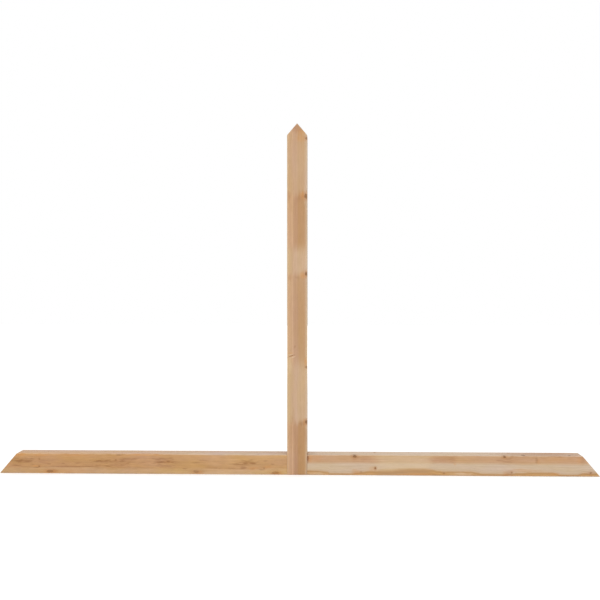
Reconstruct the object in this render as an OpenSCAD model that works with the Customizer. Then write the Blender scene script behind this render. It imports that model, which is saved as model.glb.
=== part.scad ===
// Timber gable bracket: a king post with a pointed top between the two halves of a tie beam.
// The post stands along +Z, the beam lies along X and the front faces -Y.
// The origin is the middle of the bottom face. Sizes are in millimetres.

/* [Roof] */
// Width of the gable along the bottom of the beam, tip to tip
span = 1524; // [1000:1:2400]
// Rise of the roof slope, in the unit that the run is given in
roof_rise = 14; // [9:0.25:18]
// Run of the roof slope
roof_run = 12; // [10:0.25:15]

/* [Timber] */
// Width of the king post's front face
post_width = 50.8; // [40:0.1:90]
// Height of the beam's front face
beam_height = 50.8; // [46:0.1:90]
// Depth of the post and the beam, front to back
timber_depth = 50.8; // [40:0.1:90]
// Radius of the eased long edges
edge_radius = 1.5; // [0.5:0.1:3]

/* [Dowels] */
// Diameter of the dowels that tie the beam's halves to the post
dowel_diameter = 12.7; // [8:0.1:16]
// Height between the axes of the two dowels
dowel_spacing = 24; // [18:0.1:26]
// Length of dowel that is glued into each half of the beam
dowel_embed = 48; // [30:1:90]
// Chamfer on the dowels' ends
dowel_chamfer = 1.5; // [0.5:0.1:3]
// Space between a dowel and its hole, all round
dowel_clearance = 0.1; // [0.05:0.05:0.25]
// Space past the end of a dowel in its hole
hole_relief = 0.8; // [0.4:0.1:3]

/* [Hidden] */
$fn = 64;

// Height of the roof line over the middle of the span, which is the tip of the post
apex_height = span / 2 * roof_rise / roof_run;
// How far cutting shapes and uncut stock reach past the finished faces
overcut = 10;
// Length of a dowel, through the post and into both halves of the beam
dowel_length = post_width + 2 * dowel_embed;
// Diameter of the holes and their depth in the beam's halves
hole_diameter = dowel_diameter + 2 * dowel_clearance;
hole_depth = dowel_embed + hole_relief;
// Heights of the dowels' axes, the same distance above and below the middle of the beam
upper_dowel_z = beam_height / 2 + dowel_spacing / 2;
lower_dowel_z = beam_height / 2 - dowel_spacing / 2;

post_colour = [0.76, 0.60, 0.45];
left_beam_colour = [0.76, 0.58, 0.40];
right_beam_colour = [0.80, 0.67, 0.53];
dowel_colour = [0.86, 0.75, 0.58];

// Section of a planed timber with eased corners, centred on the origin
module timber_section(width, depth) {
    square([width - 2 * edge_radius, depth], center = true);
    square([width, depth - 2 * edge_radius], center = true);
    for (x_side = [-1, 1], y_side = [-1, 1])
        translate([x_side * (width / 2 - edge_radius), y_side * (depth / 2 - edge_radius)])
            circle(r = edge_radius);
}

// The space under both roof slopes, deeper than the timber and open below
module under_roof() {
    half_foot = (apex_height + overcut) * roof_run / roof_rise;
    cut_depth = timber_depth + 2 * overcut;
    translate([0, cut_depth / 2, 0])
        rotate([90, 0, 0])
            linear_extrude(height = cut_depth)
                polygon([[-half_foot, -overcut], [half_foot, -overcut], [0, apex_height]]);
}

// A round bar along X from x_start, at height z
module bar_along_x(x_start, length, diameter, z) {
    translate([x_start, 0, z])
        rotate([0, 90, 0])
            cylinder(d = diameter, h = length);
}

// The post runs from the floor to the roof's peak, with both dowel holes right through it
module king_post() {
    color(post_colour)
        difference() {
            intersection() {
                linear_extrude(height = apex_height + overcut)
                    timber_section(post_width, timber_depth);
                under_roof();
            }
            for (z = [lower_dowel_z, upper_dowel_z])
                bar_along_x(-post_width / 2 - overcut, post_width + 2 * overcut, hole_diameter, z);
        }
}

// The right half of the beam: square against the post, cut to the roof slope at its tip
module beam_half() {
    joint_x = post_width / 2;
    stock_length = span / 2 - joint_x + overcut;
    difference() {
        intersection() {
            translate([joint_x, 0, beam_height / 2])
                rotate([0, 90, 0])
                    linear_extrude(height = stock_length)
                        timber_section(beam_height, timber_depth);
            under_roof();
        }
        for (z = [lower_dowel_z, upper_dowel_z])
            bar_along_x(joint_x - overcut, hole_depth + overcut, hole_diameter, z);
    }
}

module right_beam() {
    color(right_beam_colour)
        beam_half();
}

module left_beam() {
    color(left_beam_colour)
        mirror([1, 0, 0])
            beam_half();
}

// A dowel along X with chamfered ends, at height z
module dowel(z) {
    radius = dowel_diameter / 2;
    tip_radius = radius - dowel_chamfer;
    half_length = dowel_length / 2;
    outline = [
        [0, -half_length],
        [tip_radius, -half_length],
        [radius, dowel_chamfer - half_length],
        [radius, half_length - dowel_chamfer],
        [tip_radius, half_length],
        [0, half_length]
    ];
    color(dowel_colour)
        translate([0, 0, z])
            rotate([0, 90, 0])
                rotate_extrude()
                    polygon(outline);
}

module upper_dowel() {
    dowel(upper_dowel_z);
}

module lower_dowel() {
    dowel(lower_dowel_z);
}

king_post();
left_beam();
right_beam();
upper_dowel();
lower_dowel();
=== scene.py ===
"""Dresses the timber gable bracket: planed softwood with its grain, knots, eased edges and sawn ends."""

import math
from dataclasses import dataclass
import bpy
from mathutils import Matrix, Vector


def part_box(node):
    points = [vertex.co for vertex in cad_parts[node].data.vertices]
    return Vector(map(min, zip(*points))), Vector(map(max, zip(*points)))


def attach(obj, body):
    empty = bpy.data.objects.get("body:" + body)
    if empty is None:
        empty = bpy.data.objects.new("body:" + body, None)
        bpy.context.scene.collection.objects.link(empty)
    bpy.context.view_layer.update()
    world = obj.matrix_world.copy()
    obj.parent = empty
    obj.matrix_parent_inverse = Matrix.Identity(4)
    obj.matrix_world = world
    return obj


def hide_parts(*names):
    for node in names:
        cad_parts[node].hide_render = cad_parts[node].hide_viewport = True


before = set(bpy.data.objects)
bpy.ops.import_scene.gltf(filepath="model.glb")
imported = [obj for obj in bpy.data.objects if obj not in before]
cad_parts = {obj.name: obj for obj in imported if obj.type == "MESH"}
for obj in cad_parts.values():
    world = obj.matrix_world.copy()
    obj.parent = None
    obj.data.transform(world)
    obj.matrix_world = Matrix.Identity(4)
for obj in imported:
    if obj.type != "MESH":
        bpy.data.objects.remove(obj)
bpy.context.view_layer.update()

from types import SimpleNamespace

import bpy
import numpy as np
from mathutils import Vector, noise

MM = 0.001

# Sizes read from the frame, in metres
POST_LOW, POST_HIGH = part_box("king_post")
BEAM_LOW, BEAM_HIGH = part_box("right_beam")
HALF_DEPTH = POST_HIGH.y
APEX = POST_HIGH.z
HALF_SPAN = BEAM_HIGH.x
JOINT = BEAM_LOW.x
ROOF_SLOPE = APEX / HALF_SPAN
DOWELS = ("upper_dowel", "lower_dowel")

# Places on the timbers' faces, in millimetres
FRONT = POST_LOW.y / MM
BACK = POST_HIGH.y / MM
TOP = BEAM_HIGH.z / MM

# The camera, found by fitting the bracket's corners to the photograph
CAMERA_PLACE = Vector((0.0778, -2.3514, 0.4888))
CAMERA_TARGET = Vector((0.0073, POST_LOW.y, 0.4438))
CAMERA_LENS = 55.25
CAMERA_SENSOR = 36.0

# Light from all round, and lamps as (name, place, target, width in metres, power in watts)
WORLD_LIGHT = 0.70
LAMPS = (
    ("key", (-1.8, -3.2, 1.3), (0, 0, 0.3), 1.8, 25),
    ("fill", (1.8, -3.2, 1.3), (0, 0, 0.3), 1.8, 18),
    ("overhead", (0.2, 0.3, 3.0), (0, 0, 0), 2.4, 14),
)

# The floor: half its width, its drop below the bracket and where it turns to white, in metres, and how
# bright it glows for the camera near the bracket
FLOOR_REACH = 8.0
FLOOR_DROP = 0.3 * MM
FLOOR_FADE = (1.2, 3.5)
FLOOR_GLOW = 0.4
FLOOR_PAPER = (0.8, 0.8, 0.8, 1)

# The timbers' meshes
GRAIN_STEP = 2.2 * MM
FACE_STEPS = 40
EDGE_RADIUS = 1.5 * MM
EDGE_ANGLES = (15, 30, 45)
EDGE_UNEVENNESS = 0.4
EDGE_REPEATS = (9, 1, 1)
EDGE_SEED_STEP = 3.7
END_EASE = 0.5 * MM
END_EASE_STEP = 0.3
HOLE_CLEARANCE = 0.1 * MM
HOLE_RELIEF = 0.8 * MM
HOLE_SIDES = 48
SHARP_ANGLE = math.radians(50)
BAKE_MAP = "OFBake"
BAKE_ROWS = 9
BAKE_MARGIN = 0.03

# Waves from planing and raised grain: height, and repeats in a metre along and across the grain
PLANING_HEIGHT = 0.10 * MM
PLANING_REPEATS = (7, 14, 14)
RAISED_GRAIN_HEIGHT = 0.05 * MM
RAISED_GRAIN_REPEATS = (25, 330, 330)

# A knot's swell and the groove round it in millimetres, and the groove's place and width in knot radii
KNOT_SWELL = 0.30
KNOT_GROOVE = 0.12
KNOT_GROOVE_PLACE = 1.1
KNOT_GROOVE_WIDTH = 0.3


def srgb(red, green, blue):
    """A screen colour from 0 to 255 as the linear colour that nodes take."""
    shares = [value / 255 for value in (red, green, blue)]
    linear = [s / 12.92 if s <= 0.04045 else ((s + 0.055) / 1.055) ** 2.4 for s in shares]
    return (*linear, 1.0)


# Colours of the wood
KNOT_HEART = srgb(142, 96, 48)
KNOT_RIM = srgb(92, 58, 28)
KNOT_HALO = srgb(182, 124, 68)
STREAK_BROWN = srgb(146, 95, 50)
AMBER = srgb(210, 146, 76)
RED_BROWN = srgb(172, 120, 80)
SCAR_PALE = srgb(222, 192, 154)
JOINT_DARK = srgb(128, 76, 40)
# The pale of the eased edges: worn wood and a painted highlight
WORN_EDGE_AND_HIGHLIGHT = srgb(222, 194, 160)
END_GRAIN = srgb(150, 100, 56)
CRACK = srgb(66, 40, 22)
DOWEL_BEECH = srgb(222, 190, 146)
DOWEL_FLECK = srgb(186, 146, 100)

# Patterns in the wood, as repeats in a metre along the grain and across it
TINT = (9, 40)
MOTTLE = (28, 75)
STREAKS = (5, 190)
FLECKS = (60, 420)
FIBRES = (40, 1500)
PORES = (55, 1900)
KNOT_OUTLINE = (260, 260)
END_PORES = (2600, 2600)
DOWEL_FLECKS = (160, 1400)
DOWEL_STREAKS = (12, 300)

# Noise from 0 to 1
NOISE_MIDDLE = 0.5
RIPPLE_ROUGHNESS = 0.55
STREAK_DETAIL = 3.0

# A change of colour along a board: how far streaks draw it out, and how much is left at the back
FEATHER = 40 * MM
BACK_CHANGE = 0.25

# The saw that cut the ends: where its axis stood across the timber, and how close its marks lie
SAW_CENTRE = (0.0, -0.16, 0.12)
SAW_PITCH = 0.28 * MM

# How patterns shade the wood. Shade takes the least from red and the most from blue.
FIBRE_CONTRAST = 0.3
PORE_CONTRAST = -0.14
PORE_EDGE = (0.13, 0.2)
EARLY_WOOD_LIFT = 0.25
RED_POWER = 0.8
BLUE_POWER = 1.35

# Unevenness of the rings: repeats in a metre, and size in rings. Late wood as shares of a ring.
RING_REPEATS = 90.0
RING_UNEVENNESS = 2.0
LATE_WOOD_START = (0.5, 0.92)
LATE_WOOD_END = (0.94, 1.0)

# How ragged a mark's edge is and where it fades, in half sizes of the mark
MARK_RAGGED = 1.8
MARK_FADE = (0.2, 1.35)

# Knots, in knot radii: the fall of the rings' bulge, the outline, the halo, and rings in the heart. Only
# KNOT_RUN is in metres, and so long that a knot runs right through its timber.
KNOT_RUN = 1e3
BULGE_FALL = 0.12
KNOT_RAGGED = 0.4
KNOT_UNEVENNESS = 1.3
NO_KNOT_NEAR = 10.0
HALO_FADE = (0.7, 3.4)
KNOT_EDGE = (0.7, 1.2)
HEART_EDGE = (0.35, 1.0)
HEART_RINGS = 21.0
HEART_RING_SHIFT = 0.12

# The crack across a knot, in knot radii. It turns by so many degrees for each millimetre along the board.
KNOT_CRACK_TURN = 7
KNOT_CRACK_WANDER = 0.5
KNOT_CRACK_WIDTH = (0.03, 0.12)
KNOT_CRACK_REACH = (0.3, 0.75)
KNOT_CRACK_DARKNESS = 0.7

# Worn edges with a painted highlight: how far they reach, how much they cover, and the flecks that let
# them show
WEAR_AND_HIGHLIGHT_FADE = (0.5 * MM, 2.0 * MM)
WEAR_AND_HIGHLIGHT_COVER = 0.6
WEAR_AND_HIGHLIGHT_FLECKS = (-0.2, 0.1)

# Sawn ends, which are the faces that look along the grain
END_FACING = (0.4, 0.6)
END_BRIGHTNESS = 1.08
END_STAIN = 0.45
END_RING_CONTRAST = -0.42
SAW_MARK_CONTRAST = 0.025
END_PORE_CONTRAST = 0.5
END_BLUE_POWER = 1.25

# Drying cracks on sawn ends. They show only in patches, which repeat by distance and by angle.
END_CRACK_REPEATS = 9.0
END_CRACK_DETAIL = 4.0
END_CRACK_WIDTH = (0.002, 0.008)
CRACK_PATCH_REPEATS = (45.0, 6.0)
CRACK_PATCH_EDGE = (0.5, 0.58)
END_CRACK_DARKNESS = 0.85

# Fine relief in the material: heights in parts of BUMP_DISTANCE
LATE_WOOD_HEIGHT = 0.6
FIBRE_HEIGHT = 0.9
PORE_HEIGHT = -0.8
CRACK_HEIGHT = -2.5
BUMP_STRENGTH = 0.4
BUMP_DISTANCE = 0.15 * MM

# Roughness follows the streaks in the timbers and the flecks in the dowels
TIMBER_ROUGHNESS = (0.48, 0.62)
ROUGHNESS_STREAKS = (-0.3, 0.3)
DOWEL_ROUGHNESS = (0.5, 0.65)
ROUGHNESS_FLECKS = (0.2, 0.8)

# Where a dowel's flecks start, and how much of the dark colour flecks and streaks bring
DOWEL_FLECK_EDGE = (0.55, 0.75)
DOWEL_FLECK_COVER = 0.7
DOWEL_STREAK_COVER = 0.3

# Where a Mix node keeps its two colours and its result
MIX_FIRST = 6
MIX_SECOND = 7
MIX_RESULT = 2


@dataclass
class Knot:
    """A branch cut across. Its place along the grain, across the face and in depth is in millimetres.

    length stretches it along the grain, halo stains the wood round it, and push moves the rings aside. It
    runs along axis, given across the face and in depth, or else outward from the pith.
    """
    along: float
    across: float
    radius: float
    darkness: float = 1.0
    length: float = 1.25
    depth: float = FRONT
    halo: float = 0.7
    push: float = 1.0
    axis: tuple = None

    @property
    def centre(self):
        return Vector((self.along, self.across, self.depth)) * MM


@dataclass
class Mark:
    """A stain or scar, on the front face unless depth says otherwise. Its place is in millimetres.

    length, height and reach are half its size along the grain, across the face and in depth, and dent is
    how deep it lies, all in millimetres. turn is its turn in the face in degrees.
    """
    along: float
    across: float
    length: float
    height: float
    strength: float
    colour: tuple = STREAK_BROWN
    turn: float = 0.0
    depth: float = FRONT
    reach: float = 7.0
    dent: float = 0.0


@dataclass
class Timber:
    """One board. axes gives the frame's axis along the grain, across the front face and in depth.

    zones are colours by distance from the pith in millimetres. other_zones takes over along the grain as
    far as other_share says, and swells moves the zones beyond swell_zone. waves are (length, height,
    reach) of the grain's wander. streak, mottle, fleck and tint are strengths of patterns.
    """
    node: str
    slot: str
    axes: tuple
    seed: float
    pith: tuple
    waves: list
    ring_width: float
    ring_contrast: float
    streak: float
    mottle: float
    fleck: float
    tint: float
    zones: dict
    other_zones: dict
    other_share: dict
    knots: list
    marks: list
    swells: dict = None
    swell_zone: tuple = None

    @property
    def pith_place(self):
        return Vector((0, *self.pith)) * MM


POST = Timber(
    node="king_post", slot="post_timber", axes=(2, 0, 1), seed=3.1, pith=(85, 30),
    waves=[(420, 110, 4.0), (80, 22, 1.2)], ring_width=2.6, ring_contrast=0.12,
    streak=0.16, mottle=0.08, fleck=0.10, tint=0.35,
    zones={50: srgb(192, 149, 106), 70: srgb(203, 171, 136), 81: srgb(197, 170, 142),
           84.5: srgb(197, 160, 122), 87: srgb(187, 143, 98), 98.5: srgb(183, 138, 90),
           101: srgb(186, 142, 104), 107: srgb(187, 143, 107), 108.5: srgb(191, 148, 112),
           110.4: srgb(200, 157, 118), 111.2: srgb(212, 170, 131), 112.2: srgb(211, 169, 130),
           113: srgb(200, 157, 117), 119: srgb(202, 160, 120), 122: srgb(212, 172, 129)},
    other_zones={50: srgb(200, 164, 122), 70: srgb(208, 182, 152), 81: srgb(206, 180, 152),
                 84.5: srgb(206, 175, 141), 87: srgb(203, 168, 129), 98.5: srgb(201, 167, 130),
                 104: srgb(203, 168, 136), 109: srgb(201, 165, 129), 112: srgb(198, 163, 124),
                 117: srgb(203, 169, 126), 121: srgb(207, 174, 131), 124: srgb(214, 181, 137)},
    other_share={0: 0.0, 122: 0.0, 144: 1.0, 264: 1.0, 306: 0.3, 340: 0.25, 420: 0.15, 500: 0.3,
                 520: 1.0, 558: 1.0, 592: 0.05, 698: 0.0, 722: 0.6, 780: 0.7, 840: 0.55, 889: 0.4},
    knots=[
        Knot(851, 24, 2.2, 0.7, 1.4), Knot(706, 23.5, 3.4, 0.75, 1.7), Knot(510, 24, 2.8, 0.85, 1.7),
        Knot(274, 24, 1.8, 0.6), Knot(135, 24, 2.8, 0.9, 1.4),
    ],
    marks=[
        # The scar, with bare wood beside it
        Mark(302, -15.5, 1.3, 9.3, 0.85, turn=-20, reach=3, dent=0.5),
        Mark(298.5, -12, 1.3, 8, 0.65, SCAR_PALE, turn=-20),
        Mark(305.5, -17, 1.2, 8, 0.6, SCAR_PALE, turn=-12), Mark(309, -18, 1.4, 9, 0.4, AMBER, turn=-5),
        Mark(325, -6, 4, 2, 0.45),
        # Stains at the top, round the knots and along the edges
        Mark(876, 0, 14, 16, 0.5, RED_BROWN), Mark(866, 10, 12, 12, 0.35, AMBER),
        Mark(850, 10, 8, 14, 0.3, AMBER), Mark(706, 15, 11, 8, 0.6, AMBER),
        Mark(700, 8, 9, 10, 0.3, RED_BROWN), Mark(706, -20, 12, 7, 0.3, RED_BROWN),
        Mark(506, 16, 10, 8, 0.5, AMBER), Mark(501, 0, 3, 8, 0.2, turn=12),
        Mark(500, -18, 9, 8, 0.3, RED_BROWN), Mark(286, 21, 12, 4, 0.5, AMBER),
        Mark(131, 14, 6, 9, 0.35), Mark(133, 20, 12, 5, 0.3, AMBER),
        Mark(320, 24.2, 190, 2.2, 0.4, SCAR_PALE), Mark(97, 22, 26, 6, 0.25, RED_BROWN),
        Mark(785, -18, 95, 8, 0.12), Mark(110, -14, 45, 9, 0.2, RED_BROWN),
        Mark(279, -19, 20, 6, 0.4, SCAR_PALE),
        # The back
        Mark(640, 12, 4.5, 3, 0.8, depth=BACK), Mark(643, 12, 17, 7, 0.5, AMBER, depth=BACK),
        Mark(290, -12, 5, 3.2, 0.8, depth=BACK), Mark(288, -12, 18, 8, 0.5, AMBER, depth=BACK),
        Mark(500, 2, 70, 6, 0.3, RED_BROWN, depth=BACK), Mark(420, -17, 50, 1.8, 0.4, depth=BACK),
        Mark(180, 16, 60, 1.6, 0.35, depth=BACK), Mark(760, -8, 60, 1.8, 0.35, depth=BACK),
    ],
)
LEFT_BEAM = Timber(
    node="left_beam", slot="left_beam_timber", axes=(0, 2, 1), seed=7.7, pith=(-60, -60),
    waves=[(300, 90, 11), (70, 28, 5), (22, 9, 1.2)], ring_width=2.4, ring_contrast=0.24,
    streak=0.42, mottle=0.26, fleck=0.24, tint=0.8,
    zones={60: srgb(196, 156, 109), 71: srgb(199, 160, 113), 81: srgb(197, 155, 106),
           85: srgb(192, 144, 94), 104: srgb(193, 145, 94), 109: srgb(198, 149, 96),
           115: srgb(203, 151, 94), 117.5: srgb(204, 158, 112), 128: srgb(202, 156, 110),
           141: srgb(190, 144, 98)},
    other_zones={60: srgb(206, 168, 124), 71: srgb(209, 172, 128), 81: srgb(206, 166, 119),
                 85: srgb(199, 154, 103), 104: srgb(200, 155, 104), 109: srgb(203, 158, 106),
                 115: srgb(205, 159, 107), 117.5: srgb(203, 175, 150), 128: srgb(202, 174, 149),
                 141: srgb(194, 160, 130)},
    other_share={-762: 0.0, -480: 0.2, -150: 1.0, -25: 1.0},
    knots=[
        Knot(-632, 5.5, 3.2, 0.6, 2.4, axis=(0.3, 1)), Knot(-257, 7, 3.2, 0.45, 2.6, axis=(0.3, 1)),
        Knot(-55, 4.8, 3.4, 0.42, 2.8, axis=(0.3, 1)), Knot(-660, 36.5, 1.6, 0.5, axis=(0.2, 1)),
        Knot(-660, 18, 1.8, 0.6, axis=(0.2, 1)), Knot(-463, 35, 2.0, 0.45, axis=(0.2, 1)),
        Knot(-328, 32, 1.8, 0.5, 2.2, axis=(0.2, 1)), Knot(-84, 16, 2.0, 0.35, axis=(0.2, 1)),
    ],
    marks=[
        # Broad stains around the curly grain
        Mark(-704, 33, 30, 9, 0.35), Mark(-497, 32, 26, 6, 0.3), Mark(-447, 30, 30, 9, 0.25),
        Mark(-336, 32, 34, 7, 0.35), Mark(-128, 31, 28, 8, 0.3), Mark(-338, 20, 26, 4, 0.3),
        # Dark streaks along the grain
        Mark(-709, 31.5, 13, 2.6, 0.7, turn=6), Mark(-689, 31, 11, 2.2, 0.55, turn=5),
        Mark(-716, 20.5, 14, 2, 0.5), Mark(-668, 15.5, 7, 1.8, 0.5, turn=-6),
        Mark(-671, 23.5, 9, 1.4, 0.45), Mark(-634, 25.5, 5, 1.6, 0.5), Mark(-598, 27, 4, 2, 0.4),
        Mark(-580, 18.5, 45, 1.5, 0.55), Mark(-530, 18, 22, 1.5, 0.5), Mark(-560, 28, 8, 1.8, 0.4),
        Mark(-505, 21, 16, 1.8, 0.55), Mark(-482, 19.5, 12, 1.6, 0.5), Mark(-506, 31.5, 12, 3, 0.7),
        Mark(-482, 32.5, 15, 2.4, 0.65), Mark(-456, 47.5, 9, 2, 0.6), Mark(-446, 31.5, 9, 2, 0.55),
        Mark(-441, 36.3, 14, 1.5, 0.45), Mark(-431, 27, 6, 1.6, 0.45), Mark(-449, 24.5, 5, 2, 0.5),
        Mark(-418, 36.5, 16, 1.6, 0.5), Mark(-395, 27, 16, 1.5, 0.35), Mark(-352, 37, 24, 1.8, 0.5),
        Mark(-348, 28.5, 18, 2.6, 0.65, turn=6), Mark(-316, 29.5, 12, 2, 0.55, turn=6),
        Mark(-319, 39.5, 8, 2.4, 0.45), Mark(-286, 15, 7, 2, 0.5), Mark(-240, 37.5, 16, 1.8, 0.5),
        Mark(-258, 30, 13, 1.8, 0.45), Mark(-217, 18, 16, 1.3, 0.4), Mark(-155, 28.5, 14, 1.6, 0.5),
        Mark(-134, 30, 12, 2.6, 0.7, turn=8), Mark(-114, 30.5, 11, 2.2, 0.6),
        Mark(-134, 37, 12, 1.8, 0.45), Mark(-115, 38.5, 11, 1.8, 0.45), Mark(-137, 20, 8, 4, 0.4),
        Mark(-176, 18, 32, 1.3, 0.4), Mark(-112, 17.5, 7, 2.5, 0.4),
        Mark(-93, 14, 9, 1.4, 0.45, turn=-8), Mark(-82, 35, 9, 2, 0.45), Mark(-62, 26, 5, 1.6, 0.4),
        # Warm patches, and one dark stain among them
        Mark(-391, 47.5, 48, 3, 0.7, AMBER), Mark(-708, 46, 14, 4, 0.6, AMBER),
        Mark(-660, 46, 22, 2.5, 0.4, AMBER), Mark(-570, 47, 34, 2.5, 0.4, AMBER),
        Mark(-670, 20, 8, 3, 0.4, AMBER), Mark(-52, 3, 15, 5, 0.75, AMBER),
        Mark(-630, 4, 16, 4, 0.4, AMBER), Mark(-648, 30, 12, 6, 0.35, RED_BROWN),
        Mark(-450, 20, 24, 5, 0.35, RED_BROWN), Mark(-110, 18, 14, 5, 0.35, AMBER),
        Mark(-75, 20, 12, 5, 0.4, AMBER), Mark(-610, 5, 90, 7, 0.3, AMBER), Mark(-621, 5.5, 9, 4, 0.4),
        Mark(-254, 6, 14, 5, 0.45, AMBER),
    ],
)
RIGHT_BEAM = Timber(
    node="right_beam", slot="right_beam_timber", axes=(0, 2, 1), seed=5.3, pith=(112, 80),
    waves=[(420, 110, 4.0), (80, 22, 1.2)], ring_width=2.8, ring_contrast=0.09,
    streak=0.14, mottle=0.08, fleck=0.10, tint=0.4,
    zones={80: srgb(206, 178, 148), 119: srgb(208, 182, 155), 122: srgb(200, 158, 117),
           130.5: srgb(201, 159, 119), 132.5: srgb(203, 168, 131), 135: srgb(209, 184, 155),
           142: srgb(209, 184, 155), 145.5: srgb(206, 176, 142), 147: srgb(193, 150, 102),
           148.5: srgb(188, 142, 90), 150: srgb(204, 159, 105), 152: srgb(202, 157, 104),
           153.5: srgb(180, 136, 86), 160: srgb(188, 146, 100)},
    other_zones={80: srgb(208, 181, 151), 119: srgb(209, 184, 158), 122: srgb(208, 173, 129),
                 130.5: srgb(210, 177, 136), 132.5: srgb(212, 182, 143), 135: srgb(216, 190, 158),
                 142: srgb(216, 189, 156), 145: srgb(207, 173, 132), 148: srgb(191, 150, 105),
                 151: srgb(186, 144, 99), 153: srgb(192, 152, 108), 155: srgb(200, 152, 98),
                 158: srgb(198, 150, 96), 160: srgb(190, 144, 96)},
    other_share={25: 0.0, 185: 0.0, 220: 1.0, 324: 1.0, 350: 0.0, 762: 0.0},
    swells={25: 0.7, 50: 0.0, 77: -1.7, 84: -4.2, 136: -4.6, 160: -2.4, 185: 0.0, 200: 0.3, 240: 0.9,
            262: 2.6, 290: 3.8, 320: 3.8, 338: 2.6, 356: 0.2, 388: -0.7, 440: -0.5, 455: -2.2,
            466: -3.7, 516: -3.7, 560: -1.4, 580: -0.7, 640: -0.7, 665: -4.1, 703: -4.1, 722: -1.0,
            762: -0.7},
    swell_zone=(136, 144),
    knots=[
        Knot(146, 48, 2.4, 0.8, 1.9), Knot(198, 17.5, 1.9, 0.9, 1.0), Knot(523, 48.5, 2.4, 0.8, 1.4),
        Knot(541, 9, 1.6, 0.55), Knot(738, 9, 2.0, 0.5), Knot(371, 7, 1.6, 0.4),
        Knot(572, TOP, 6.0, length=0.9, depth=-13, halo=0.0, push=0.15, axis=(1, 0)),
        Knot(688, TOP, 4.5, 0.8, 0.9, depth=-13, halo=0.0, push=0.15, axis=(1, 0)),
    ],
    marks=[
        # The dark patch at the joint, and then stains along the front
        Mark(26, 43, 5.0, 13, 0.95, JOINT_DARK, reach=14), Mark(33, 41, 6, 12, 0.4, AMBER),
        Mark(50, 43, 16, 9, 0.25, AMBER), Mark(170, 42, 18, 10, 0.25, RED_BROWN),
        Mark(146, 42, 10, 7, 0.3, RED_BROWN), Mark(190, 17, 10, 7, 0.25, AMBER),
        Mark(366, 42, 28, 10, 0.3, RED_BROWN), Mark(393, 42, 12, 10, 0.4, RED_BROWN),
        Mark(398, 29, 4, 3, 0.35, AMBER), Mark(150, 8, 13, 8, 0.35, AMBER),
        Mark(148, 6, 12, 6, 0.12, RED_BROWN), Mark(162, 8, 3, 4, 0.35),
        Mark(50, 4.5, 28, 3, 0.55, SCAR_PALE), Mark(416, 5, 30, 3.2, 0.75, SCAR_PALE),
        Mark(565, 15, 42, 5, 0.3, AMBER), Mark(513, 40, 9, 2.2, 0.3), Mark(533, 44, 10, 1.8, 0.3),
        Mark(531, 36, 12, 1.8, 0.3), Mark(540, 42, 40, 10, 0.25, RED_BROWN),
        Mark(531, 8, 12, 8, 0.45, RED_BROWN), Mark(526, 6, 9, 6, 0.3, AMBER),
        Mark(603, 42, 4, 11, 0.35, reach=10), Mark(607, 38, 6, 8, 0.3, AMBER),
        Mark(660, 42, 50, 8, 0.2, AMBER), Mark(711, 43, 10, 11, 0.3, AMBER),
        Mark(719, 40, 8, 9, 0.3, RED_BROWN), Mark(652, 6, 14, 3, 0.4, AMBER),
        Mark(735, 9, 16, 6, 0.3, RED_BROWN), Mark(310, 5, 45, 3, 0.25, AMBER),
        # The top face
        Mark(630, TOP, 120, 6, 0.65, RED_BROWN, depth=0, reach=40),
        Mark(660, TOP, 70, 5, 0.6, RED_BROWN, depth=20, reach=14),
        # The back
        Mark(120, 31, 4.5, 3, 0.8, depth=BACK), Mark(124, 31, 18, 8, 0.5, AMBER, depth=BACK),
        Mark(455, 18, 4, 2.6, 0.75, depth=BACK), Mark(452, 18, 16, 7, 0.5, AMBER, depth=BACK),
        Mark(655, 36, 3.4, 2.4, 0.7, depth=BACK), Mark(655, 36, 14, 6, 0.45, AMBER, depth=BACK),
        Mark(330, 8, 110, 9, 0.45, RED_BROWN, depth=BACK),
        Mark(600, 10, 80, 7, 0.4, RED_BROWN, depth=BACK), Mark(220, 42, 70, 8, 0.35, AMBER, depth=BACK),
        Mark(540, 41, 80, 7, 0.35, AMBER, depth=BACK), Mark(250, 24, 34, 1.6, 0.4, depth=BACK),
        Mark(505, 31, 40, 1.5, 0.4, depth=BACK), Mark(690, 20, 28, 1.6, 0.4, depth=BACK),
        Mark(80, 16, 30, 1.6, 0.35, depth=BACK),
    ],
)
TIMBERS = (POST, LEFT_BEAM, RIGHT_BEAM)


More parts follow.
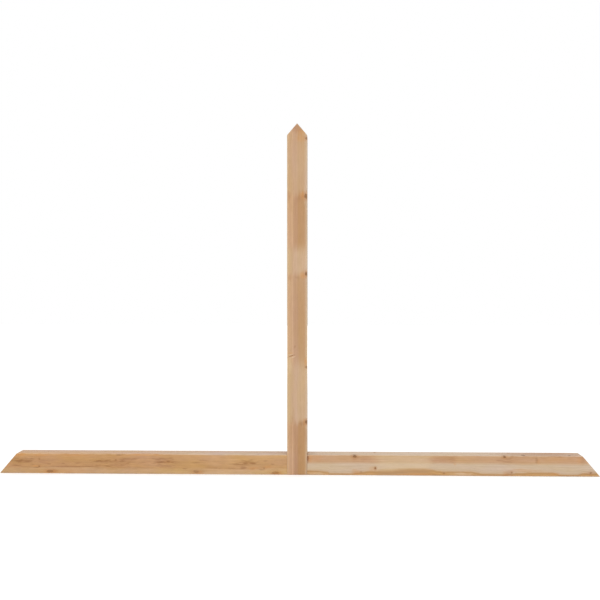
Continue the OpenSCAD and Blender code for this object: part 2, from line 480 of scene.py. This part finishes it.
class Graph:
    """Adds shader nodes to a tree. Each method returns the new node's output socket."""

    def __init__(self, tree):
        self.tree = tree

    def node(self, kind, **settings):
        made = self.tree.nodes.new(kind)
        for name, value in settings.items():
            setattr(made, name, value)
        return made

    def feed(self, socket, value):
        if isinstance(value, bpy.types.NodeSocket):
            self.tree.links.new(value, socket)
        else:
            socket.default_value = value

    def feed_each(self, sockets, values):
        for socket, value in zip(sockets, values):
            self.feed(socket, value)

    def math(self, operation, *values):
        made = self.node("ShaderNodeMath", operation=operation)
        self.feed_each(made.inputs, values)
        return made.outputs[0]

    def times(self, a, b):
        return self.math("MULTIPLY", a, b)

    def times_plus(self, a, b, c):
        """a times b, plus c."""
        return self.math("MULTIPLY_ADD", a, b, c)

    def vector(self, operation, *values):
        made = self.node("ShaderNodeVectorMath", operation=operation)
        self.feed_each(made.inputs, values)
        return made.outputs["Value" if operation == "LENGTH" else "Vector"]

    def combine(self, x, y, z):
        made = self.node("ShaderNodeCombineXYZ")
        self.feed_each(made.inputs, (x, y, z))
        return made.outputs[0]

    def separate(self, vector):
        made = self.node("ShaderNodeSeparateXYZ")
        self.feed(made.inputs[0], vector)
        return made.outputs

    def local(self, place, centre, turn, size):
        """A place as seen from a turned ellipsoid: its surface is at distance 1."""
        if any(turn):
            made = self.node("ShaderNodeVectorRotate", rotation_type="EULER_XYZ", invert=True)
            self.feed(made.inputs["Vector"], place)
            made.inputs["Center"].default_value = centre
            made.inputs["Rotation"].default_value = turn
            place = made.outputs[0]
        shares = [1 / length for length in size]
        shift = [-middle * share for middle, share in zip(centre, shares)]
        return self.vector("MULTIPLY_ADD", place, shares, shift)

    def noise(self, place, detail=2.0, roughness=0.5, output="Fac"):
        made = self.node("ShaderNodeTexNoise", noise_dimensions="3D")
        self.feed(made.inputs["Vector"], place)
        made.inputs["Scale"].default_value = 1.0
        made.inputs["Detail"].default_value = detail
        made.inputs["Roughness"].default_value = roughness
        return made.outputs[output]

    def stretch(self, place, repeats):
        """A place scaled to repeats along the grain and across it."""
        along, across = repeats
        return self.vector("MULTIPLY", place, (along, across, across))

    def ripple(self, place, repeats, detail=2.0):
        """Noise about 0, drawn out along the grain as far as repeats along and across it say."""
        made = self.noise(self.stretch(place, repeats), detail, RIPPLE_ROUGHNESS)
        return self.math("SUBTRACT", made, NOISE_MIDDLE)

    def span(self, value, low, high, to_low=0.0, to_high=1.0, smooth=True):
        """A value from low to high, carried over to the range from to_low to to_high and held there."""
        made = self.node("ShaderNodeMapRange", interpolation_type="SMOOTHSTEP" if smooth else "LINEAR")
        names = ("Value", "From Min", "From Max", "To Min", "To Max")
        self.feed_each([made.inputs[name] for name in names], (value, low, high, to_low, to_high))
        return made.outputs[0]

    def ramp(self, value, stops, interpolation="LINEAR", output="Color"):
        """The colour at a value in metres, from colours by value in millimetres."""
        stops = list(stops.items())
        low, high = stops[0][0], stops[-1][0]
        made = self.node("ShaderNodeValToRGB")
        made.color_ramp.interpolation = interpolation
        self.feed(made.inputs[0], self.span(value, low * MM, high * MM, smooth=False))
        elements = made.color_ramp.elements
        elements[0].position, elements[0].color = 0.0, stops[0][1]
        elements[1].position, elements[1].color = 1.0, stops[-1][1]
        for edge, colour in stops[1:-1]:
            elements.new((edge - low) / (high - low)).color = colour
        return made.outputs[output]

    def curve(self, value, stops):
        """A number that eases from stop to stop, from numbers by value in millimetres."""
        low, high = min(stops.values()), max(stops.values())
        alphas = {edge: (0.0, 0.0, 0.0, (number - low) / (high - low)) for edge, number in stops.items()}
        return self.span(self.ramp(value, alphas, "EASE", "Alpha"), 0.0, 1.0, low, high, smooth=False)

    def mix(self, factor, a, b, blend="MIX"):
        made = self.node("ShaderNodeMix", data_type="RGBA", blend_type=blend)
        self.feed(made.inputs["Factor"], factor)
        self.feed(made.inputs[MIX_FIRST], a)
        self.feed(made.inputs[MIX_SECOND], b)
        return made.outputs[MIX_RESULT]

    def shaded(self, colour, red, green, blue):
        """A colour times one factor for each of its channels."""
        factors = self.node("ShaderNodeCombineColor")
        self.feed_each(factors.inputs, (red, green, blue))
        return self.mix(1.0, colour, factors.outputs[0], "MULTIPLY")

    def finish(self, kind, shader):
        """Ends the tree in an output node."""
        self.feed(self.node(kind).inputs["Surface"], shader.outputs[0])


def new_material(name):
    material = bpy.data.materials.new(name)
    material.use_nodes = True
    material.node_tree.nodes.clear()
    return material, Graph(material.node_tree)


def finish_material(graph, colour, roughness, normal=None):
    """Ends a material's tree in one bare wood shader."""
    shader = graph.node("ShaderNodeBsdfPrincipled")
    graph.feed(shader.inputs["Base Color"], colour)
    graph.feed(shader.inputs["Roughness"], roughness)
    if normal is not None:
        graph.feed(shader.inputs["Normal"], normal)
    graph.finish("ShaderNodeOutputMaterial", shader)


def bent_grain(graph, timber, place):
    """The place in the board, moved across the grain so that the grain wanders."""
    along, across, depth = graph.separate(place)
    for number, (length, height, reach) in enumerate(timber.waves):
        spot = graph.stretch(place, (1 / (length * MM), 1 / (height * MM)))
        shift = timber.seed * (number + 1)
        wave = graph.node("ShaderNodeSeparateColor")
        moved = graph.vector("ADD", spot, (shift, shift, shift))
        graph.feed(wave.inputs[0], graph.noise(moved, output="Color"))
        across_wave = graph.math("SUBTRACT", wave.outputs[1], NOISE_MIDDLE)
        across = graph.times_plus(across_wave, reach * MM, across)
        depth_wave = graph.math("SUBTRACT", wave.outputs[2], NOISE_MIDDLE)
        depth = graph.times_plus(depth_wave, reach * MM, depth)
    return graph.combine(along, across, depth)


def seen_from_knot(graph, timber, place, knot):
    """A place in knot radii from the knot's own axis. A knot grows outward from the pith."""
    outward = knot.centre - timber.pith_place
    if knot.axis is not None:
        outward = Vector((0, *knot.axis))
    turn = math.atan2(-outward.y, outward.z)
    radius = knot.radius * MM
    size = (radius * knot.length, radius, KNOT_RUN)
    return graph.local(place, tuple(knot.centre), (turn, 0, 0), size)


def ring_distance(graph, timber, bent, knot_gaps):
    """Distance from the pith, with the rings pushed out by knots and by swells along the board."""
    away = graph.separate(graph.vector("SUBTRACT", bent, tuple(timber.pith_place)))
    distance = graph.vector("LENGTH", graph.combine(0.0, away[1], away[2]))
    for knot, gap in zip(timber.knots, knot_gaps):
        fall = graph.times(graph.times(gap, gap), -BULGE_FALL)
        bulge = graph.math("EXPONENT", fall)
        distance = graph.times_plus(bulge, -knot.push * knot.radius * MM, distance)
    if timber.swells:
        low, high = timber.swell_zone
        outer = graph.span(distance, low * MM, high * MM)
        lift = graph.times(graph.curve(away[0], timber.swells), outer)
        distance = graph.times_plus(lift, MM, distance)
    return distance


def late_wood(graph, timber, distance):
    """From 0 in early wood to 1 in late wood: each ring darkens slowly outward and ends sharply."""
    spot = graph.combine(graph.times(distance, RING_REPEATS), timber.seed, 0.0)
    unevenness = graph.noise(spot)
    phase = graph.math("DIVIDE", distance, timber.ring_width * MM)
    tooth = graph.math("FRACT", graph.times_plus(unevenness, RING_UNEVENNESS, phase))
    start = graph.span(tooth, *LATE_WOOD_START)
    end = graph.span(tooth, *LATE_WOOD_END, 1.0, 0.0)
    return graph.times(start, end)


def zone_colour(graph, timber, place, distance, streaks):
    """Colour by distance from the pith. Changes along the board feather along the grain."""
    feather = graph.times(streaks, FEATHER)
    along, _, depth = graph.separate(place)
    share = graph.curve(graph.math("ADD", along, feather), timber.other_share)
    change = graph.span(depth, FRONT * MM, BACK * MM, 1.0, BACK_CHANGE)
    even = 0.5
    share = graph.times_plus(graph.math("SUBTRACT", share, even), change, even)
    zones = graph.ramp(distance, timber.zones)
    other_zones = graph.ramp(distance, timber.other_zones)
    return graph.mix(share, zones, other_zones)


def add_marks(graph, timber, colour, bent, ragged):
    """Stains and scars, with ragged edges along the grain. Marks of one colour are laid on together."""
    for mark_colour in dict.fromkeys(mark.colour for mark in timber.marks):
        bare = 1.0
        for mark in timber.marks:
            if mark.colour != mark_colour:
                continue
            centre = [value * MM for value in (mark.along, mark.across, mark.depth)]
            size = [value * MM for value in (mark.length, mark.height, mark.reach)]
            seen = graph.local(bent, centre, (0, 0, math.radians(mark.turn)), size)
            gap = graph.times_plus(ragged, MARK_RAGGED, graph.vector("LENGTH", seen))
            left_bare = graph.span(gap, *MARK_FADE, 1.0 - mark.strength, 1.0)
            bare = graph.times(bare, left_bare)
        colour = graph.mix(bare, mark_colour, colour)
    return colour


def knot_crack(graph, knot, seen, gap, ragged):
    """From 0 to 1 on the drying crack across a knot, which lies at another angle in each knot."""
    along, across, _ = graph.separate(seen)
    turn = math.radians(KNOT_CRACK_TURN * knot.along)
    off_line = graph.times(along, math.sin(turn))
    off_line = graph.times_plus(across, math.cos(turn), off_line)
    off_line = graph.times_plus(ragged, KNOT_CRACK_WANDER, off_line)
    line = graph.span(graph.math("ABSOLUTE", off_line), *KNOT_CRACK_WIDTH, 1.0, 0.0)
    inside = graph.span(gap, *KNOT_CRACK_REACH, KNOT_CRACK_DARKNESS, 0.0)
    return graph.times(line, inside)


def add_knots(graph, timber, colour, place, seen_places, ragged):
    """Knots with a stained halo, an uneven outline, fine rings in the heart, a dark rim and a crack."""
    outline = graph.times(graph.ripple(place, KNOT_OUTLINE), KNOT_UNEVENNESS)
    uneven = graph.times_plus(ragged, KNOT_RAGGED, outline)
    nearest, halo, cover, crack = NO_KNOT_NEAR, 0.0, 0.0, 0.0
    for knot, seen in zip(timber.knots, seen_places):
        gap = graph.math("ADD", uneven, graph.vector("LENGTH", seen))
        nearest = graph.math("MINIMUM", nearest, gap)
        stain = graph.span(gap, *HALO_FADE, knot.halo * knot.darkness, 0.0)
        halo = graph.math("MAXIMUM", halo, stain)
        cover = graph.math("MAXIMUM", cover, graph.span(gap, *KNOT_EDGE, knot.darkness, 0.0))
        crack = graph.math("MAXIMUM", crack, knot_crack(graph, knot, seen, gap, ragged))
    rings = graph.math("SINE", graph.times(nearest, HEART_RINGS))
    ringed = graph.times_plus(rings, HEART_RING_SHIFT, nearest)
    wood = graph.mix(graph.span(ringed, *HEART_EDGE), KNOT_HEART, KNOT_RIM)
    wood = graph.mix(crack, wood, CRACK)
    return graph.mix(cover, graph.mix(halo, colour, KNOT_HALO), wood)


def face_place(timber):
    """Where the middle of a timber's face lies across the grain, and half the face's width."""
    if timber is POST:
        return 0.0, POST_HIGH.x
    return BEAM_HIGH.z / 2, BEAM_HIGH.z / 2


def paint_edge_wear_and_highlight(graph, timber, colour, place, flecks):
    """The eased long edges are paler, partly because planing and handling left them rough and partly as a
    painted highlight.
    """
    _, across, depth = graph.separate(place)
    middle, half = face_place(timber)
    off_middle = graph.math("ABSOLUTE", graph.math("SUBTRACT", across, middle))
    from_side = graph.math("SUBTRACT", half, off_middle)
    from_front = graph.math("SUBTRACT", HALF_DEPTH, graph.math("ABSOLUTE", depth))
    gap = graph.math("MAXIMUM", from_side, from_front)
    near_edge = graph.span(gap, *WEAR_AND_HIGHLIGHT_FADE, WEAR_AND_HIGHLIGHT_COVER, 0.0)
    wear_and_highlight = graph.times(near_edge, graph.span(flecks, *WEAR_AND_HIGHLIGHT_FLECKS))
    return graph.mix(wear_and_highlight, colour, WORN_EDGE_AND_HIGHLIGHT)


def drying_cracks(graph, timber, place, distance):
    """From 0 to 1 on fine cracks that run out from the pith."""
    away = graph.separate(graph.vector("SUBTRACT", place, tuple(timber.pith_place)))
    angle = graph.math("ARCTAN2", away[1], away[2])
    sideways = graph.times(angle, END_CRACK_REPEATS)
    outward = graph.times(distance, END_CRACK_REPEATS)
    wander = graph.noise(graph.combine(sideways, outward, timber.seed), detail=END_CRACK_DETAIL)
    line = graph.math("ABSOLUTE", graph.math("SUBTRACT", wander, NOISE_MIDDLE))
    by_distance, by_angle = CRACK_PATCH_REPEATS
    outward = graph.times(distance, by_distance)
    sideways = graph.times(angle, by_angle)
    patch = graph.combine(outward, sideways, -timber.seed)
    on_line = graph.span(line, *END_CRACK_WIDTH, 1.0, 0.0)
    in_patch = graph.span(graph.noise(patch), *CRACK_PATCH_EDGE)
    return graph.times(on_line, in_patch)


def sawn_end(graph, colour, place, late, cracks):
    """End grain: dark rings, because open cells drink light, with a saw blade's arcs and some cracks."""
    from_blade = graph.vector("SUBTRACT", graph.vector("MULTIPLY", place, (0, 1, 1)), SAW_CENTRE)
    arcs = graph.math("SINE", graph.math("DIVIDE", graph.vector("LENGTH", from_blade), SAW_PITCH))
    pores = graph.noise(graph.stretch(place, END_PORES))
    shade = graph.times_plus(late, END_RING_CONTRAST, END_BRIGHTNESS)
    shade = graph.times_plus(arcs, SAW_MARK_CONTRAST, shade)
    pores = graph.math("SUBTRACT", pores, NOISE_MIDDLE)
    shade = graph.times_plus(pores, END_PORE_CONTRAST, shade)
    sawn = graph.mix(END_STAIN, colour, END_GRAIN)
    red = graph.math("POWER", shade, RED_POWER)
    blue = graph.math("POWER", shade, END_BLUE_POWER)
    sawn = graph.shaded(sawn, red, shade, blue)
    return graph.mix(graph.times(cracks, END_CRACK_DARKNESS), sawn, CRACK)


def grain_patterns(graph, bent):
    """Patterns that run along the grain, each about 0, and open pores from 0 to 1."""
    patterns = SimpleNamespace()
    patterns.tint = graph.ripple(bent, TINT)
    patterns.mottle = graph.ripple(bent, MOTTLE)
    patterns.streaks = graph.ripple(bent, STREAKS, STREAK_DETAIL)
    patterns.flecks = graph.ripple(bent, FLECKS)
    patterns.fibres = graph.ripple(bent, FIBRES)
    patterns.pores = graph.span(graph.ripple(bent, PORES), *PORE_EDGE)
    patterns.ragged = graph.math("ADD", patterns.flecks, patterns.fibres)
    return patterns


def add_grain(graph, timber, colour, late, patterns):
    """Shades a colour by the rings and by the patterns along the grain."""
    lift = 1.0 + EARLY_WOOD_LIFT * timber.ring_contrast
    shade = graph.times_plus(late, -timber.ring_contrast, lift)
    weights = (
        (patterns.streaks, timber.streak), (patterns.mottle, timber.mottle),
        (patterns.flecks, timber.fleck), (patterns.fibres, FIBRE_CONTRAST),
        (patterns.pores, PORE_CONTRAST),
    )
    for pattern, weight in weights:
        shade = graph.times_plus(pattern, weight, shade)
    blue = graph.math("POWER", shade, BLUE_POWER)
    blue = graph.times_plus(patterns.tint, -timber.tint, blue)
    return graph.shaded(colour, graph.math("POWER", shade, RED_POWER), shade, blue)


def raised_grain(graph, late, patterns, cracks):
    """The normal of a surface with raised fibres and late wood, open pores and cracks."""
    height = graph.times(patterns.fibres, FIBRE_HEIGHT)
    height = graph.times_plus(late, LATE_WOOD_HEIGHT, height)
    height = graph.times_plus(patterns.pores, PORE_HEIGHT, height)
    height = graph.times_plus(cracks, CRACK_HEIGHT, height)
    bump = graph.node("ShaderNodeBump")
    bump.inputs["Strength"].default_value = BUMP_STRENGTH
    bump.inputs["Distance"].default_value = BUMP_DISTANCE
    graph.feed(bump.inputs["Height"], height)
    return bump.outputs[0]


def wood_material(timber):
    """Softwood as a solid: rings about the pith, streaks and fibres along the grain, knots and marks."""
    material, graph = new_material(timber.node + "_wood")
    coordinates = graph.node("ShaderNodeTexCoord")
    parts = graph.separate(coordinates.outputs["Object"])
    place = graph.combine(*[parts[axis] for axis in timber.axes])
    bent = bent_grain(graph, timber, place)
    seen_places = [seen_from_knot(graph, timber, place, knot) for knot in timber.knots]
    knot_gaps = [graph.vector("LENGTH", seen) for seen in seen_places]
    distance = ring_distance(graph, timber, bent, knot_gaps)
    late = late_wood(graph, timber, distance)
    patterns = grain_patterns(graph, bent)

    # Long grain
    colour = zone_colour(graph, timber, place, distance, patterns.streaks)
    colour = add_marks(graph, timber, colour, bent, patterns.ragged)
    colour = add_grain(graph, timber, colour, late, patterns)
    # Paler eased edges: worn wood and a painted highlight
    colour = paint_edge_wear_and_highlight(graph, timber, colour, place, patterns.flecks)
    colour = add_knots(graph, timber, colour, place, seen_places, patterns.ragged)

    # Sawn ends
    facing = graph.math("ABSOLUTE", graph.separate(coordinates.outputs["Normal"])[timber.axes[0]])
    on_end = graph.span(facing, *END_FACING)
    cracks = graph.times(drying_cracks(graph, timber, place, distance), on_end)
    colour = graph.mix(on_end, colour, sawn_end(graph, colour, place, late, cracks))

    normal = raised_grain(graph, late, patterns, cracks)
    roughness = graph.span(patterns.streaks, *ROUGHNESS_STREAKS, *TIMBER_ROUGHNESS, smooth=False)
    finish_material(graph, colour, roughness, normal)
    return material


def dowel_material():
    """Pale turned hardwood with short dark flecks along the dowel."""
    material, graph = new_material("dowel_wood")
    place = graph.node("ShaderNodeTexCoord").outputs["Object"]
    flecks = graph.noise(graph.stretch(place, DOWEL_FLECKS))
    streaks = graph.noise(graph.stretch(place, DOWEL_STREAKS))
    cover = graph.times(graph.span(flecks, *DOWEL_FLECK_EDGE), DOWEL_FLECK_COVER)
    cover = graph.times_plus(streaks, DOWEL_STREAK_COVER, cover)
    colour = graph.mix(cover, DOWEL_BEECH, DOWEL_FLECK)
    roughness = graph.span(flecks, *ROUGHNESS_FLECKS, *DOWEL_ROUGHNESS, smooth=False)
    finish_material(graph, colour, roughness)
    return material


def across_lines(half):
    """Lattice places across a face, close together over the eased edges."""
    flat = half - EDGE_RADIUS
    bends = [flat + EDGE_RADIUS * math.tan(math.radians(angle)) for angle in EDGE_ANGLES]
    middle = np.linspace(-flat, flat, FACE_STEPS + 1)
    return np.concatenate([[-b for b in reversed(bends)], middle, bends])


def along_lines(length):
    """Lattice places along the grain as shares of the length, close together at the eased ends."""
    ease = END_EASE / length
    steps = round(length / GRAIN_STEP)
    ends = np.array([0.0, END_EASE_STEP * ease])
    return np.concatenate([ends, np.linspace(ease, 1 - ease, steps), 1 - ends[::-1]])


def lattice_corners(counts, flipped):
    """Corners of the quads over a lattice's six sides, as lattice steps, and each quad's side number.

    Sides 0 and 1 are the ends, 2 and 3 lie across the face, and 4 and 5 are front and back.
    """
    corners, sides = [], []
    for side in range(6):
        axis, far = divmod(side, 2)
        steps = [np.arange(count) for count in counts]
        steps[axis] = np.array([far * (counts[axis] - 1)])
        sheet = np.squeeze(np.stack(np.meshgrid(*steps, indexing="ij"), -1), axis)
        ring = [sheet[:-1, :-1], sheet[1:, :-1], sheet[1:, 1:], sheet[:-1, 1:]]
        quads = np.stack(ring, 2).reshape(-1, 4, 3)
        outward = (far == 1) != (axis == 1)
        corners.append(quads if outward != flipped else quads[:, ::-1])
        sides.append(np.full(len(quads), side))
    return np.concatenate(corners), np.concatenate(sides)


def bake_places(corners, sides, counts):
    """A flat map of a timber: each long side as two strips in rows, and both ends in the last row."""
    share = corners / (np.array(counts) - 1)
    along, face, depth = share[..., 0], share[..., 1], share[..., 2]
    second = corners[..., 0].mean(1) > (counts[0] - 1) // 2
    is_end = sides < 2
    row = np.where(is_end, BAKE_ROWS - 1, (sides - 2) * 2 + second)
    middle = ((counts[0] - 1) // 2) / (counts[0] - 1)
    halved = np.where(second[:, None], (along - middle) / (1 - middle), along / middle)
    u = np.where(is_end[:, None], (face + sides[:, None]) / 2, halved)
    v = np.where((sides >= 4)[:, None], face, depth)
    u = BAKE_MARGIN / 3 + (1 - BAKE_MARGIN * 2 / 3) * u
    v = (row[:, None] + BAKE_MARGIN + (1 - 2 * BAKE_MARGIN) * v) / BAKE_ROWS
    return np.stack([u, v], -1)


def noise_at(places, scale, seed):
    """Smooth noise from -1 to 1 at rows of places."""
    return np.array([noise.noise(p) for p in (places * scale + seed).tolist()])


def eased_section(face, depth, half_face, radius):
    """Moves lattice points of a square section onto one with round corners."""
    inner_face = np.clip(face, radius - half_face, half_face - radius)
    inner_depth = np.clip(depth, radius - HALF_DEPTH, HALF_DEPTH - radius)
    out_face, out_depth = face - inner_face, depth - inner_depth
    reach = np.maximum(np.abs(out_face), np.abs(out_depth))
    length = np.maximum(np.hypot(out_face, out_depth), 1e-12)
    return inner_face + out_face * reach / length, inner_depth + out_depth * reach / length


def seen_from_mark(mark, places):
    """How far rows of places are from a mark's centre, in half sizes of the mark."""
    along, across, depth = (places / MM - (mark.along, mark.across, mark.depth)).T
    turn = math.radians(mark.turn)
    down_length = (along * math.cos(turn) + across * math.sin(turn)) / mark.length
    down_height = (across * math.cos(turn) - along * math.sin(turn)) / mark.height
    return np.sqrt(down_length ** 2 + down_height ** 2 + (depth / mark.reach) ** 2)


def surface_relief(timber, places):
    """Height of the planed surface in metres: slow waves, raised grain, swollen knots and dents."""
    height = PLANING_HEIGHT * noise_at(places, PLANING_REPEATS, timber.seed)
    height += RAISED_GRAIN_HEIGHT * noise_at(places, RAISED_GRAIN_REPEATS, timber.seed)
    for knot in timber.knots:
        size = np.array((knot.length, 1, 1)) * knot.radius * MM
        gap = np.linalg.norm((places - knot.centre) / size, axis=1)
        swell = KNOT_SWELL * np.exp(-gap ** 2)
        groove = KNOT_GROOVE * np.exp(-((gap - KNOT_GROOVE_PLACE) / KNOT_GROOVE_WIDTH) ** 2)
        height += knot.darkness * MM * (swell - groove)
    for mark in timber.marks:
        if mark.dent:
            height -= mark.dent * MM * np.exp(-seen_from_mark(mark, places) ** 2)
    return height


def lattice_shell(lines):
    """Points on a lattice's outside: their numbers by lattice step, and their places on the lines."""
    counts = [len(line) for line in lines]
    outside = np.ones(counts, bool)
    outside[1:-1, 1:-1, 1:-1] = False
    numbers = np.full(counts, -1)
    numbers[outside] = np.arange(outside.sum())
    return numbers, [line[step] for line, step in zip(lines, np.nonzero(outside))]


def uneven_radius(timber, along, face, depth):
    """The radius of the long edge nearest to each point, which wanders along the timber."""
    edge_number = (face > 0) * 2.0 + (depth > 0) * 1.0
    spots = np.stack([along, edge_number * EDGE_SEED_STEP, np.zeros_like(along)], 1)
    return EDGE_RADIUS * (1 + EDGE_UNEVENNESS * noise_at(spots, EDGE_REPEATS, timber.seed))


def end_inset(from_end):
    """How far the eased edges of an end step in, by the distance from that end."""
    into_ease = np.maximum(END_EASE - from_end, 0)
    return END_EASE - np.sqrt(np.maximum(END_EASE ** 2 - into_ease ** 2, 0))


def raise_surface(mesh, places, relief):
    """Moves each point of a mesh along its normal by the surface's relief."""
    normals = np.zeros(places.size, np.float32)
    mesh.vertices.foreach_get("normal", normals)
    raised = places + normals.reshape(-1, 3) * relief[:, None]
    mesh.vertices.foreach_set("co", raised.ravel().astype(np.float32))
    mesh.update()


def timber_mesh(timber):
    """A closed mesh of one timber, with eased edges and its ends square or cut to the roof."""
    upright = timber is POST
    mirror = -1 if timber is LEFT_BEAM else 1
    face_middle, half_face = face_place(timber)
    start = 0.0 if upright else JOINT
    longest = (APEX if upright else HALF_SPAN) - start
    lines = along_lines(longest), across_lines(half_face), across_lines(HALF_DEPTH)
    numbers, (share, face, depth) = lattice_shell(lines)

    # Ease the four long edges, each unevenly along its length, and the edges of both ends
    radius = uneven_radius(timber, start + share * longest, face, depth)
    face, depth = eased_section(face, depth, half_face, radius)
    inset = end_inset(np.minimum(share, 1 - share) * longest)
    face *= 1 - inset / half_face
    depth *= 1 - inset / HALF_DEPTH

    # Stretch the grain to the roof line
    face += face_middle
    stop = APEX - np.abs(face) * ROOF_SLOPE if upright else HALF_SPAN - face / ROOF_SLOPE
    grain = mirror * (start + share * (stop - start))
    local = np.stack([grain, face, depth], 1)
    places = local[:, np.argsort(timber.axes)]

    corners, sides = lattice_corners(numbers.shape, flipped=timber is RIGHT_BEAM)
    mesh = bpy.data.meshes.new(timber.node + "_planed")
    mesh.from_pydata(places, [], numbers[tuple(np.moveaxis(corners, -1, 0))])
    bake_map = mesh.uv_layers.new(name=BAKE_MAP)
    bake_map.data.foreach_set("uv", bake_places(corners, sides, numbers.shape).ravel())
    raise_surface(mesh, places, surface_relief(timber, local))
    return mesh


def link(name, data):
    made = bpy.data.objects.new(name, data)
    bpy.context.scene.collection.objects.link(made)
    return made


def hole_cutter():
    """Round bars where the dowels go, a little wider and longer than the dowels."""
    points, faces = [], []
    for name in DOWELS:
        low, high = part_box(name)
        radius = (high.z - low.z) / 2 + HOLE_CLEARANCE
        height = (high.z + low.z) / 2
        first = len(points)
        for end in (low.x - HOLE_RELIEF, high.x + HOLE_RELIEF):
            for side in range(HOLE_SIDES):
                angle = 2 * math.pi * side / HOLE_SIDES
                points.append((end, radius * math.cos(angle), height + radius * math.sin(angle)))
        near = [first + side for side in range(HOLE_SIDES)]
        far = [first + HOLE_SIDES + side for side in range(HOLE_SIDES)]
        for side in range(HOLE_SIDES):
            after = (side + 1) % HOLE_SIDES
            faces.append((near[side], near[after], far[after], far[side]))
        faces.append(tuple(reversed(near)))
        faces.append(tuple(far))
    mesh = bpy.data.meshes.new("hole_cutter")
    mesh.from_pydata(points, [], faces)
    return link("hole_cutter", mesh)


def cut_holes(piece, cutter):
    """Drills the dowel holes into a timber's mesh."""
    drill = piece.modifiers.new("drill", "BOOLEAN")
    drill.operation = "DIFFERENCE"
    drill.solver = "MANIFOLD"
    drill.object = cutter
    evaluated = piece.evaluated_get(bpy.context.evaluated_depsgraph_get())
    drilled = bpy.data.meshes.new_from_object(evaluated)
    piece.modifiers.clear()
    piece.data = drilled
    drilled.shade_smooth()
    drilled.set_sharp_from_angle(angle=SHARP_ANGLE)


def make_timbers():
    cutter = hole_cutter()
    for timber in TIMBERS:
        piece = link(timber.node + "_timber", timber_mesh(timber))
        piece.data.materials.append(wood_material(timber))
        cut_holes(piece, cutter)
        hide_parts(timber.node)
        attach(piece, "root")
    bpy.data.objects.remove(cutter)


def dress_dowels():
    wood = dowel_material()
    for name in DOWELS:
        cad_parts[name].material_slots[0].material = wood


def paper_white(graph, light):
    """A strength that the camera and reflections see as 1, while other light from it is weaker."""
    path = graph.node("ShaderNodeLightPath")
    seen = path.outputs["Is Camera Ray"]
    for name in ("Is Glossy Ray", "Is Transmission Ray"):
        seen = graph.math("MAXIMUM", seen, path.outputs[name])
    return graph.times_plus(seen, 1.0 - light, light)


def make_world():
    world = bpy.data.worlds.new("studio")
    bpy.context.scene.world = world
    world.use_nodes = True
    world.node_tree.nodes.clear()
    graph = Graph(world.node_tree)
    background = graph.node("ShaderNodeBackground")
    background.inputs["Color"].default_value = (1, 1, 1, 1)
    graph.feed(background.inputs["Strength"], paper_white(graph, WORLD_LIGHT))
    graph.finish("ShaderNodeOutputWorld", background)


def make_floor():
    """A pale floor that keeps the shadow near the bracket and turns to paper white further off."""
    signs = ((-1, -1), (1, -1), (1, 1), (-1, 1))
    corners = [(x * FLOOR_REACH, y * FLOOR_REACH, -FLOOR_DROP) for x, y in signs]
    mesh = bpy.data.meshes.new("floor")
    mesh.from_pydata(corners, [], [(0, 1, 2, 3)])
    floor = link("floor", mesh)
    material, graph = new_material("floor_paper")
    paper = graph.node("ShaderNodeBsdfDiffuse")
    paper.inputs["Color"].default_value = FLOOR_PAPER
    away = graph.vector("LENGTH", graph.node("ShaderNodeTexCoord").outputs["Object"])
    lift = graph.span(away, *FLOOR_FADE, FLOOR_GLOW, 1.0)
    glow = graph.node("ShaderNodeEmission")
    graph.feed(glow.inputs["Strength"], graph.times(paper_white(graph, 0.0), lift))
    both = graph.node("ShaderNodeAddShader")
    graph.feed_each(both.inputs, (paper.outputs[0], glow.outputs[0]))
    graph.finish("ShaderNodeOutputMaterial", both)
    mesh.materials.append(material)


def make_lamp(name, place, target, size, power):
    lamp = bpy.data.lights.new(name, "AREA")
    lamp.shape = "DISK"
    lamp.size = size
    lamp.energy = power
    made = link(name, lamp)
    made.location = place
    made.rotation_euler = (Vector(target) - Vector(place)).to_track_quat("-Z", "Y").to_euler()


def make_camera():
    camera = link("camera", bpy.data.cameras.new("camera"))
    camera.data.lens = CAMERA_LENS
    camera.data.sensor_width = CAMERA_SENSOR
    camera.location = CAMERA_PLACE
    camera.rotation_euler = (CAMERA_TARGET - CAMERA_PLACE).to_track_quat("-Z", "Y").to_euler()
    bpy.context.scene.camera = camera


make_camera()
make_timbers()
dress_dowels()
make_world()
make_floor()
for lamp in LAMPS:
    make_lamp(*lamp)
bpy.context.scene.view_settings.view_transform = "Standard"
